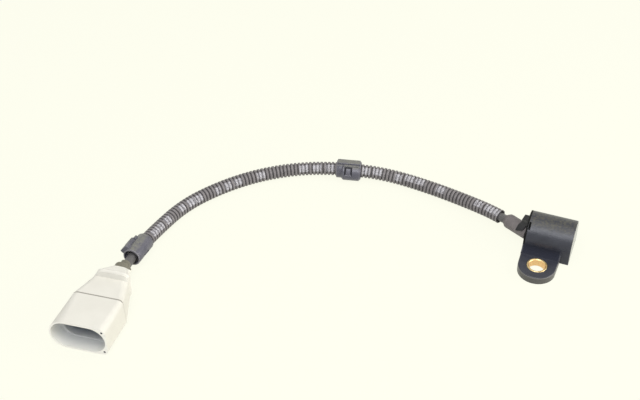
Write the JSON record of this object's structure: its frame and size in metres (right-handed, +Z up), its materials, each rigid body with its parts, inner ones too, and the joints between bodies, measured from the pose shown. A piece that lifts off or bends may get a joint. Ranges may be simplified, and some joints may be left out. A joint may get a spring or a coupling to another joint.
{
  "type": "camshaft position sensor",
  "caption": "Camshaft position sensor with a black moulded head, a brass-lined mounting ear, a lead in corrugated conduit and a pale grey connector.",
  "frame": {"origin": "centre of the bush bore in the mounting ear, on the seating plane", "axes": "+Z up out of the bush along the bolt, +Y from the bolt to the sensing body, -X towards the lead"},
  "size_m": [0.1887, 0.1524, 0.0169],
  "materials": {
    "black_plastic": "satin",
    "boot_rubber": "matt",
    "brass": "turned",
    "carrier_plastic": "moulded",
    "magnet_plate": "plated",
    "chip_epoxy": "moulded",
    "capacitor_ceramic": "fired",
    "tinned_contact": "tinned",
    "core_insulation": "extruded",
    "sheath": "extruded",
    "conduit_grey": "corrugated",
    "clip_plastic": "satin",
    "connector_grey": "moulded",
    "grommet_rubber": "matt",
    "seal_rubber": "moulded",
    "lock_plastic": "moulded"
  },
  "bodies": {
    "root": {"sensor_body": "black_plastic", "end_cap": "black_plastic", "mounting_bush": "brass", "cable_boot": "boot_rubber", "chip_carrier": "carrier_plastic", "hall_chip": "chip_epoxy", "bias_magnet": "magnet_plate", "filter_capacitor": "capacitor_ceramic", "cable_jacket": "sheath", "conduit": "conduit_grey", "mid_clip": "clip_plastic", "end_clip": "clip_plastic", "connector_shroud": "connector_grey", "rear_cover": "connector_grey", "rear_grommet": "grommet_rubber", "terminal_lock": "lock_plastic", "head_terminal_1": "tinned_contact", "head_wire_1": "core_insulation", "contact_pin_1": "tinned_contact", "wire_seal_1": "seal_rubber", "plug_wire_1": "core_insulation", "head_terminal_2": "tinned_contact", "head_wire_2": "core_insulation", "contact_pin_2": "tinned_contact", "wire_seal_2": "seal_rubber", "plug_wire_2": "core_insulation", "head_terminal_3": "tinned_contact", "head_wire_3": "core_insulation", "contact_pin_3": "tinned_contact", "wire_seal_3": "seal_rubber", "plug_wire_3": "core_insulation"}
  },
  "joints": []
}
